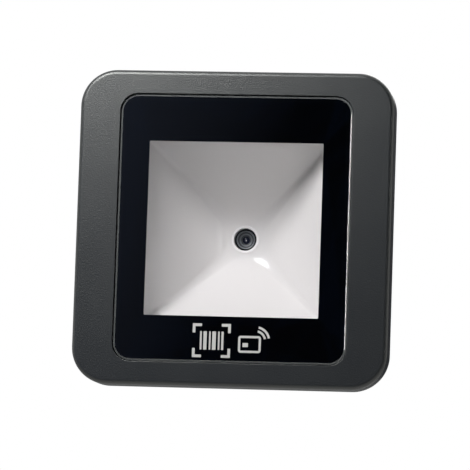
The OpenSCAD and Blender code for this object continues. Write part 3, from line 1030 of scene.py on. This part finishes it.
@dataclass
class Pictograms:
    """Two printed signs in the lower band of the glass: bars in a finder frame, and a card with waves."""

    back: float
    film: float = 0.03
    code_centre: Pair = (-5.0, -30.4)
    code_half: Pair = (5.2, 4.6)
    arm: float = 2.5
    stroke: float = 0.75
    bars: tuple[Pair, ...] = (
        (-2.9, 0.5),
        (-1.75, 0.9),
        (-0.45, 0.45),
        (0.7, 1.0),
        (2.0, 0.45),
        (3.0, 0.6),
    )
    bar_half: float = 2.5
    bar_corner: float = 0.12
    card_centre: Pair = (5.4, -31.2)
    card_half: Pair = (3.1, 2.3)
    card_corner: float = 0.7
    card_stroke: float = 0.6
    chip: Pair = (0.75, 0.55)
    chip_drop: float = 0.2
    wave_centre: Pair = (7.0, -30.2)
    waves: Pair = (2.6, 3.7)
    wave_steps: int = 20
    wave_turn: Pair = (12.0, 78.0)

    def bar(self, shell: Shell, centre: Pair, half: Pair) -> None:
        """Adds one printed bar, with its middle and half sizes along X and Z."""
        shell.plate(Ring(half[0], half[1], self.bar_corner, self.back - self.film), self.film, centre)

    def code_sign(self, finishes: Finishes) -> bpy.types.Object:
        """Builds the bars and the four corners of their finder frame.

        Args:
            finishes: Materials of the reader.

        Returns:
            The sign.
        """
        shell = Shell(3)
        middle_x, middle_z = self.code_centre
        thin = self.stroke / 2
        for side in Side:
            for level in (-1, 1):
                edge_x = middle_x + side.value * (self.code_half[0] - thin)
                edge_z = middle_z + level * (self.code_half[1] - thin)
                reach = self.arm / 2 - thin
                self.bar(shell, (edge_x - side.value * reach, edge_z), (self.arm / 2, thin))
                rest = (self.arm - self.stroke) / 2
                self.bar(shell, (edge_x, edge_z - level * (thin + rest)), (thin, rest))
        for offset, width in self.bars:
            self.bar(shell, (middle_x + offset, middle_z), (width / 2, self.bar_half))
        sign = make_piece("code_sign", shell.bm, [finishes["print_white"]])
        return place(sign, Slot.PRINT)

    def wave(self, shell: Shell, radius: float) -> None:
        """Adds one printed arc of the card's waves.

        Args:
            shell: Mesh that takes the arc.
            radius: Middle radius of the arc.
        """
        first, last = (math.radians(turn) for turn in self.wave_turn)
        made = bmesh.ops.create_grid(shell.bm, x_segments=self.wave_steps, y_segments=1, size=0.5)["verts"]
        for vert in made:
            turn = first + (vert.co.x + 0.5) * (last - first)
            reach = radius + vert.co.y * self.card_stroke
            across, up = self.wave_centre
            vert.co = Vector((across + reach * math.cos(turn), self.back, up + reach * math.sin(turn)))
        faces = list(dict.fromkeys(face for vert in made for face in vert.link_faces))
        grown = bmesh.ops.extrude_face_region(shell.bm, geom=faces, use_keep_orig=True)
        lifted = [item for item in grown["geom"] if isinstance(item, bmesh.types.BMVert)]
        bmesh.ops.translate(shell.bm, verts=lifted, vec=(0.0, -self.film, 0.0))

    def card_sign(self, finishes: Finishes) -> bpy.types.Object:
        """Builds the card, its chip and its waves.

        Args:
            finishes: Materials of the reader.

        Returns:
            The sign.
        """
        shell = Shell(5)
        outer = Ring(self.card_half[0], self.card_half[1], self.card_corner, self.back - self.film)
        inner = outer.inset(self.card_stroke, outer.depth)
        rings = [outer, inner, inner.inset(0.0, self.back), outer.inset(0.0, self.back)]
        shell.skin(rings, closed=True, centre=self.card_centre)
        chip_x = self.card_centre[0] - self.card_half[0] + 2.0 * self.card_stroke + self.chip[0]
        self.bar(shell, (chip_x, self.card_centre[1] - self.chip_drop), self.chip)
        for radius in self.waves:
            self.wave(shell, radius)
        sign = make_piece("card_sign", shell.bm, [finishes["print_white"]])
        return place(sign, Slot.PRINT)

    def build(self, finishes: Finishes) -> None:
        """Builds both signs."""
        self.code_sign(finishes)
        self.card_sign(finishes)


@dataclass
class LightBowl:
    """White square bowl that narrows to the lens hole, with its flange and collar."""

    mouth: float
    foot_depth: float
    lens_half: float = 3.15
    land: float = 0.7
    land_rise: float = 0.1
    land_edge: float = 0.04
    hole_edge: Pair = (0.2, 0.06)
    mouth_half: Pair = (26.0, 26.0)
    mouth_corner: float = 0.8
    power: float = 1.7
    ridge_blend: float = 2.0
    wall: float = 1.5
    post_bite: float = 0.6
    post_edge: float = 0.15
    flange: Ring = Ring(34.0, 38.5, 7.0, -3.6)
    flange_back: float = -2.1
    collar: Pair = (4.35, 2.5)
    post_place: Pair = (16.0, 16.0)
    post: tuple[float, float, float] = (2.5, 1.0, 29.9)
    pilot: float = 5.0
    screw: Pair = (28.5, 33.0)
    boss_hole: float = 3.25
    lead_slot: Ring = Ring(3.1, 0.75, 0.3, -4.6)
    lead_place: Pair = (12.0, -30.05)
    steps: int = 40
    crowding: float = 1.5
    outer_step: int = 4
    crease_deg: float = 50.0

    def wall_back(self, across: float) -> float:
        """Gives the depth that a post reaches inside the bowl's wall.

        Args:
            across: Distance from the lens axis.

        Returns:
            The depth there.
        """
        foot = self.lens_half + self.land
        u = (across - foot) / (self.mouth_half[0] - foot)
        rise = (self.mouth - self.foot_depth) * u**self.power
        return self.foot_depth + rise + self.post_bite * self.wall

    def ring(self, u: float) -> Ring:
        """Gives one ring of the bowl's inside.

        Args:
            u: Way up the bowl, from 0 at the land to 1 at the mouth.

        Returns:
            The ring.
        """
        foot = self.lens_half + self.land
        corner = self.mouth_corner + (foot - self.mouth_corner) * (1 - u) ** self.ridge_blend
        depth = self.foot_depth + (self.mouth - self.foot_depth) * u**self.power
        across = foot + (self.mouth_half[0] - foot) * u
        up = foot + (self.mouth_half[1] - foot) * u
        return Ring(across, up, corner, depth)

    def build(self, finishes: Finishes) -> bpy.types.Object:
        """Builds and dresses the bowl.

        Args:
            finishes: Materials of the reader.

        Returns:
            The bowl.
        """
        shell = Shell(10)
        inside = [self.ring((1 - step / self.steps) ** self.crowding) for step in range(self.steps + 1)]
        hole = Ring(self.lens_half, self.lens_half, self.lens_half, self.foot_depth)
        top = self.foot_depth - self.land_rise
        wide, narrow = self.hole_edge
        radius, length = self.collar
        outside = []
        for step in range(0, self.steps + 1, self.outer_step):
            ring = self.ring(step / self.steps)
            depth = max(ring.depth + self.wall, self.flange_back)
            outside.append(ring.inset(-self.wall, depth))
        rings = [
            *inside,
            hole.inset(-self.land + self.land_edge, top),
            hole.inset(-wide, top),
            hole.inset(-narrow, top + narrow),
            hole.inset(0.0, top + wide),
            hole.inset(0.0, self.foot_depth + length),
            Ring(radius, radius, radius, self.foot_depth + length),
            *[ring for ring in outside if ring.half_x > radius],
            self.flange.inset(0.0, self.flange_back),
            self.flange,
        ]
        shell.skin(rings, closed=True)
        # Faces of the land round the hole take the paler painted highlight.
        for face in shell.bm.faces:
            middle = face.calc_center_median()
            face.material_index = int(math.hypot(middle.x, middle.z) < self.lens_half + self.land)
        looks = [finishes["bowl"], finishes["land_painted_light"]]
        bowl = make_piece("light_bowl", shell.bm, looks, self.crease_deg)
        outer, bore, end = self.post
        start = self.wall_back(max(self.post_place) - outer)
        steps = [(outer, start), (outer, end - self.post_edge), (outer - self.post_edge, end)]
        work(bowl, corner_forms("post", steps, self.post_place), Work.JOIN, self.crease_deg)
        steps = [(bore, end - self.pilot), (bore, end + PAST)]
        cuts = corner_forms("pilot", steps, self.post_place)
        steps = [(self.boss_hole, self.flange.depth - PAST), (self.boss_hole, self.flange_back + PAST)]
        cuts += corner_forms("boss_hole", steps, self.screw)
        slot = Shell(3)
        slot.plate(self.lead_slot, self.flange_back - self.lead_slot.depth + PAST, self.lead_place)
        cuts.append(make_piece("lead_slot", slot.bm, []))
        work(bowl, cuts, Work.CUT, self.crease_deg)
        flatten_faces(bowl)
        return place(bowl, Slot.BOWL, "light_funnel")


@dataclass
class LensUnit:
    """Stepped black barrel and the small domed lens in it."""

    front: float
    back: float
    radius: float = 3.0
    lens_radius: float = 1.35
    lens_depth: float = 1.3
    lens_back: float = 1.2
    lens_play: float = 0.04
    dome: float = 0.35
    dome_steps: int = 8
    dome_tip: float = 0.02
    shoulder: Pair = (0.4, 0.7)
    hood_steps: int = 4
    hood_edge: float = 0.05
    tread_fall: float = 0.3
    bore_step: float = 0.3
    shoulder_shade_reach: float = 0.01
    lip: float = 0.2

    def barrel(self, finishes: Finishes) -> bpy.types.Object:
        """Builds the barrel, open at its back.

        Args:
            finishes: Materials of the reader.

        Returns:
            The barrel.
        """
        r, f = self.radius, self.front
        bore = self.lens_radius - self.bore_step
        inset, drop = self.shoulder
        profile = [(r, self.back), (r, f + drop), (r - inset, f + drop)]
        edge = self.hood_edge
        tread = (r - inset - bore) / self.hood_steps
        rise = (self.lens_depth - self.lip) / self.hood_steps
        for step in range(self.hood_steps):
            outer = r - inset - step * tread
            level = f + step * rise
            profile += [(outer, level + edge), (outer - edge, level)]
            profile.append((outer - tread + edge, level + self.tread_fall * rise))
        profile += [
            (bore, f + self.lens_depth),
            (self.lens_radius + self.lens_play, f + self.lens_depth),
            (self.lens_radius + self.lens_play, self.back),
        ]
        shell = Shell(16)
        shell.skin([Ring(radius, radius, radius, depth) for radius, depth in profile], closed=True)
        for face in shell.bm.faces:
            middle = face.calc_center_median()
            inward = r - inset - math.hypot(middle.x, middle.z)
            # Faces in the sunk shoulder take the near-black painted shade.
            in_shoulder = inward < self.shoulder_shade_reach
            # Every other step takes the darker painted shade, and the rest take the grey painted light.
            face.material_index = 1 if in_shoulder else 2 * (int(inward / tread) % 2)
        looks = [finishes["lens_black"], finishes["shoulder_shade"], finishes["lens_shade"]]
        barrel = make_piece("lens_barrel_hood", shell.bm, looks)
        flatten_faces(barrel)
        return place(barrel, Slot.LENS_BLACK, "lens_barrel")

    def lens(self, finishes: Finishes) -> bpy.types.Object:
        """Builds the domed front lens.

        Args:
            finishes: Materials of the reader.

        Returns:
            The lens.
        """
        top = self.front + self.lens_depth
        rings = []
        for step in range(self.dome_steps + 1):
            share = max(step / self.dome_steps, self.dome_tip)
            reach = self.lens_radius * share
            rings.append((reach, top + self.dome * share * share))
        rings.append((self.lens_radius, top + self.lens_back))
        shell = Shell(12)
        shell.tube(rings)
        lens = make_piece("lens_dome", shell.bm, [finishes["lens_glass"]])
        return place(lens, Slot.LENS_GLASS, "front_lens")

    def build(self, finishes: Finishes) -> None:
        """Builds the barrel and the lens."""
        self.barrel(finishes)
        self.lens(finishes)


@dataclass
class RearHousing:
    """Moulded shell behind the panel, with screw wells, sound slots and the socket's cut-out."""

    half: Pair
    rim: float
    back: float
    corner: float = 7.0
    draft: float = 0.8
    edge: float = 2.0
    edge_steps: int = 8
    rim_edge: float = 0.2
    wall: float = 2.8
    floor: float = 2.0
    screw: Pair = (28.5, 33.0)
    well_radius: float = 2.55
    seat: float = 6.6
    shank_radius: float = 1.35
    column_radius: float = 3.85
    column_top: float = 3.6
    chamfer: float = 0.3
    socket: tuple[float, float, float] = (8.0, 6.9, -20.5)
    socket_corner: float = 0.5
    slot_half: Pair = (0.5, 4.0)
    slot_corner: float = 0.48
    slots: tuple[float, ...] = (-22.6, -20.0, -17.4)
    slot_z: float = -24.0

    def rings(self) -> list[Ring]:
        """Gives the rings of the housing's skin, from its inner floor over the rim to its back.

        Returns:
            The rings, in order.
        """
        rim = Ring(self.half[0], self.half[1], self.corner, self.rim)
        shoulder = rim.inset(self.draft, self.back - self.edge)
        inner = rim.inset(self.wall, self.rim)
        return [
            inner.inset(0.0, self.back - self.floor),
            inner.inset(0.0, self.rim + self.rim_edge),
            inner.inset(-self.rim_edge, self.rim),
            rim.inset(self.rim_edge, self.rim),
            rim.inset(0.0, self.rim + self.rim_edge),
            shoulder,
            *round_edge(shoulder, self.edge, 1.0, self.edge_steps),
        ]

    def openings(self) -> list[bpy.types.Object]:
        """Makes the forms that open the housing's back.

        Returns:
            The cutting forms.
        """
        past = self.back + PAST
        mouth = self.well_radius + self.chamfer
        well = [
            (self.well_radius, self.seat),
            (self.well_radius, self.back - self.chamfer),
            (mouth, self.back),
            (mouth, past),
        ]
        made = corner_forms("well", well, self.screw)
        shank = [(self.shank_radius, self.column_top - PAST), (self.shank_radius, self.seat + PAST)]
        made += corner_forms("shank", shank, self.screw)
        half_x, half_z, height = self.socket
        window = Shell(4)
        inner = Ring(half_x, half_z, self.socket_corner, self.back - 2 * self.floor)
        outer = inner.inset(-self.chamfer, self.back)
        rings = [inner, inner.inset(0.0, self.back - self.chamfer), outer, outer.inset(0.0, past)]
        loops = window.skin(rings, centre=(0.0, height))
        window.cap(loops[0])
        window.cap(loops[-1])
        made.append(make_piece("socket_window", window.bm, []))
        for offset in self.slots:
            slot = Shell(5)
            outline = Ring(*self.slot_half, self.slot_corner, self.back - 2 * self.floor)
            slot.plate(outline, past - outline.depth, (offset, self.slot_z))
            made.append(make_piece("sound_slot", slot.bm, []))
        return made

    def build(self, finishes: Finishes) -> bpy.types.Object:
        """Builds and dresses the housing.

        Args:
            finishes: Materials of the reader.

        Returns:
            The housing.
        """
        shell = Shell(16)
        loops = shell.skin(self.rings())
        shell.cap(loops[0])
        shell.cap(loops[-1])
        housing = make_piece("rear_shell", shell.bm, [finishes["housing"]])
        steps = [(self.column_radius, self.column_top), (self.column_radius, self.back - 0.5 * self.floor)]
        work(housing, corner_forms("column", steps, self.screw), Work.JOIN)
        work(housing, self.openings(), Work.CUT)
        flatten_faces(housing)
        return place(housing, Slot.HOUSING, "rear_housing")


@dataclass(frozen=True)
class Softbox:
    """Rectangular area lamp turned to the reader.

    Attributes:
        name: Name of the lamp.
        spot: Place in metres.
        size: Width and height in metres.
        power: Power in watts.
        only: Names of the pieces that it lights, or none for all.
    """

    name: str
    spot: tuple[float, float, float]
    size: Pair
    power: float
    only: tuple[str, ...] = ()

    def hang(self) -> None:
        """Hangs the lamp."""
        lamp = bpy.data.lights.new(self.name, "AREA")
        lamp.shape = "RECTANGLE"
        lamp.size, lamp.size_y = self.size
        lamp.energy = self.power
        holder = bpy.data.objects.new(self.name, lamp)
        holder.visible_camera = False
        holder.location = self.spot
        holder.rotation_euler = (-Vector(self.spot)).to_track_quat("-Z", "Y").to_euler()
        bpy.context.scene.collection.objects.link(holder)
        if self.only:
            lit = bpy.data.collections.new(f"lit_by_{self.name}")
            for piece in self.only:
                lit.objects.link(bpy.data.objects[piece])
            holder.light_linking.receiver_collection = lit
            holder.light_linking.blocker_collection = lit


@dataclass
class Studio:
    """Floor, surroundings, lamps, the dark side of the room and the camera, in metres."""

    azimuth: float = 7.29
    elevation: float = -5.92
    roll: float = 1.95
    distance: float = 1.0
    widths: float = 7.845
    aim: tuple[float, float, float] = (0.00037, -0.0055, -0.0015)
    sensor_mm: float = 36.0
    clip_near: float = 0.01
    floor_z: float = -0.45
    floor_half: float = 3.0
    floor_finish: SweepPaper = SweepPaper("pale_floor", "#f4f4f3", 0.4)
    ambient: float = 0.185
    cloth_y: Pair = (-1.15, 1.2)
    cloth: tuple[float, float, float, float] = (-1.7, 2.4, -0.5, 1.7)
    cloth_finish: DimCloth = DimCloth("dim_cloth", "#c8d8ff", (0.36, 0.03), (-0.3, -0.18), -0.375)
    lamps: tuple[Softbox, ...] = (
        Softbox("key", (-0.091, -0.175, 0.153), (0.086, 0.086), 0.72),
        Softbox("window", (0.40, -0.42, 0.060), (0.07, 0.006), 0.1),
        Softbox("edge_strip", (0.42, -0.43, 0.07), (0.12, 0.20), 1.7, only=("glass_pane",)),
        Softbox("lens_glint", (-0.076, -0.59, 0.062), (0.14, 0.14), 2.5, only=("lens_dome",)),
        Softbox("rear", (0.30, 0.80, 0.60), (0.60, 0.60), 6.0),
    )

    def surroundings(self) -> None:
        """Makes a room that is white to the eye and in reflections, and lights softly."""
        world = bpy.data.worlds.new("white_room")
        bpy.context.scene.world = world
        world.use_nodes = True
        tree = world.node_tree
        tree.nodes.clear()
        light = add_node(
            tree, "ShaderNodeMapRange", {3: self.ambient, 4: 1.0}, {0: shown_rays(tree)}
        ).outputs[0]
        air = add_node(tree, "ShaderNodeBackground", {"Color": linear("#ffffff")}, {"Strength": light})
        add_node(tree, "ShaderNodeOutputWorld", None, {"Surface": air.outputs[0]})

    def sheet(
        self,
        name: str,
        middle: tuple[float, float, float],
        half: Pair,
        turn: float,
        material: bpy.types.Material,
    ) -> bpy.types.Object:
        """Makes a flat sheet of the studio.

        Args:
            name: Name of the sheet.
            middle: Its middle.
            half: Half of its two edge lengths.
            turn: Turn about X, in degrees.
            material: Its finish.

        Returns:
            The sheet.
        """
        bm = bmesh.new()
        bmesh.ops.create_grid(bm, x_segments=2, y_segments=2, size=1.0)
        bmesh.ops.scale(bm, vec=(half[0], half[1], 1.0), verts=bm.verts)
        bmesh.ops.rotate(bm, matrix=Matrix.Rotation(math.radians(turn), 3, "X"), verts=bm.verts)
        bmesh.ops.translate(bm, vec=middle, verts=bm.verts)
        mesh = bpy.data.meshes.new(name)
        bm.to_mesh(mesh)
        bm.free()
        mesh.materials.append(material)
        sheet = bpy.data.objects.new(name, mesh)
        bpy.context.scene.collection.objects.link(sheet)
        return sheet

    def room(self) -> None:
        """Lays the pale floor, and hangs the two dim cloths that only reflections see."""
        half = (self.floor_half, self.floor_half)
        self.sheet("studio_floor", (0.0, 0.0, self.floor_z), half, 0.0, self.floor_finish.material())
        dim = self.cloth_finish.material()
        left, right, low, high = self.cloth
        for depth in self.cloth_y:
            middle = ((left + right) / 2, depth, (low + high) / 2)
            cloth = self.sheet("dim_cloth", middle, ((right - left) / 2, (high - low) / 2), 90.0, dim)
            cloth.visible_camera = False
            cloth.visible_diffuse = False
            cloth.visible_shadow = False

    def camera(self) -> None:
        """Sets the camera at the photograph's angle."""
        turn, rise = math.radians(self.azimuth), math.radians(self.elevation)
        back = Vector((math.sin(turn) * math.cos(rise), -math.cos(turn) * math.cos(rise), math.sin(rise)))
        lens = bpy.data.cameras.new("camera")
        lens.sensor_width = self.sensor_mm
        lens.lens = self.widths * lens.sensor_width
        lens.clip_start = self.clip_near
        view = bpy.data.objects.new("camera", lens)
        look = (-back).to_track_quat("-Z", "Y").to_matrix().to_4x4()
        tilt = Matrix.Rotation(math.radians(self.roll), 4, "Z")
        view.matrix_world = Matrix.Translation(Vector(self.aim) + self.distance * back) @ look @ tilt
        bpy.context.scene.collection.objects.link(view)
        bpy.context.scene.camera = view

    def build(self) -> None:
        """Builds the whole studio."""
        bpy.context.scene.view_settings.view_transform = "Standard"
        self.surroundings()
        self.room()
        for lamp in self.lamps:
            lamp.hang()
        self.camera()


def node_box(node: str) -> tuple[Vector, Vector]:
    """Gives a node's lowest and highest corners in millimetres."""
    low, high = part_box(node)
    return low / MM, high / MM


def dress_nodes(nodes: Mapping[str, bpy.types.Object], finishes: Finishes) -> None:
    """Gives the nodes that stay their finishes.

    Args:
        nodes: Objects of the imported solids.
        finishes: Materials of the reader.
    """
    for node, key in NODE_FINISHES.items():
        mesh = nodes[node].data
        mesh.materials.clear()
        mesh.materials.append(finishes[key])
        LOG.info("%s: %s", node, FINISHES[key].name)


def main() -> None:
    """Builds the reader's looks around its solids."""
    logging.basicConfig(level=logging.INFO, format="%(name)s %(message)s")
    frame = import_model()
    finishes = Finishes()
    dress_nodes(frame["nodes"], finishes)

    low, high = node_box("front_bezel")
    FaceFrame((high.x, high.z), low.y).build(finishes)
    low, high = node_box("cover_glass")
    CoverGlass((high.x, high.z), low.y, high.y).build(finishes)
    Pictograms(high.y).build(finishes)
    barrel_low, barrel_high = node_box("lens_barrel")
    low, _ = node_box("light_funnel")
    LightBowl(low.y, barrel_low.y - FOOT_TO_BARREL).build(finishes)
    LensUnit(barrel_low.y, barrel_high.y).build(finishes)
    low, high = node_box("rear_housing")
    RearHousing((high.x, high.z), low.y, high.y).build(finishes)
    Studio().build()


if __name__ == "__main__":
    main()
